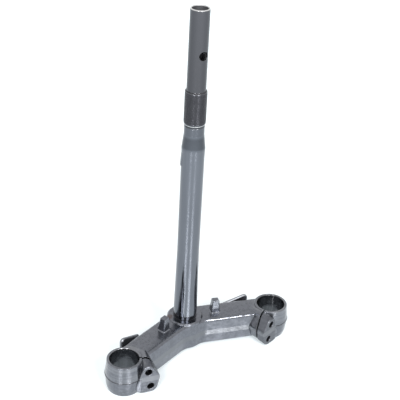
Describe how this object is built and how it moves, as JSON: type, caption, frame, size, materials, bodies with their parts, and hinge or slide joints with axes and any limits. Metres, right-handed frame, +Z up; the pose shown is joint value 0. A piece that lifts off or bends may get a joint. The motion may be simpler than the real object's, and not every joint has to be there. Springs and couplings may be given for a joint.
{
  "type": "motorcycle lower triple clamp",
  "caption": "Forged lower fork yoke with split fork clamps, steering stops and a long hollow threaded steering stem.",
  "frame": {"origin": "steering axis at the machined top faces of the clamps and boss", "axes": "+Z up the steering stem, -Y forward to the fork legs, +X to the clamp that is on the right when seen from in front"},
  "size_m": [0.2622, 0.0884, 0.437],
  "materials": {
    "yoke_paint": "satin black paint over forged steel",
    "stem_paint": "semi-gloss dark grey paint over drawn steel tube"
  },
  "bodies": {
    "root": {"bottom_yoke": "yoke_paint", "steering_stem": "stem_paint"}
  },
  "joints": []
}
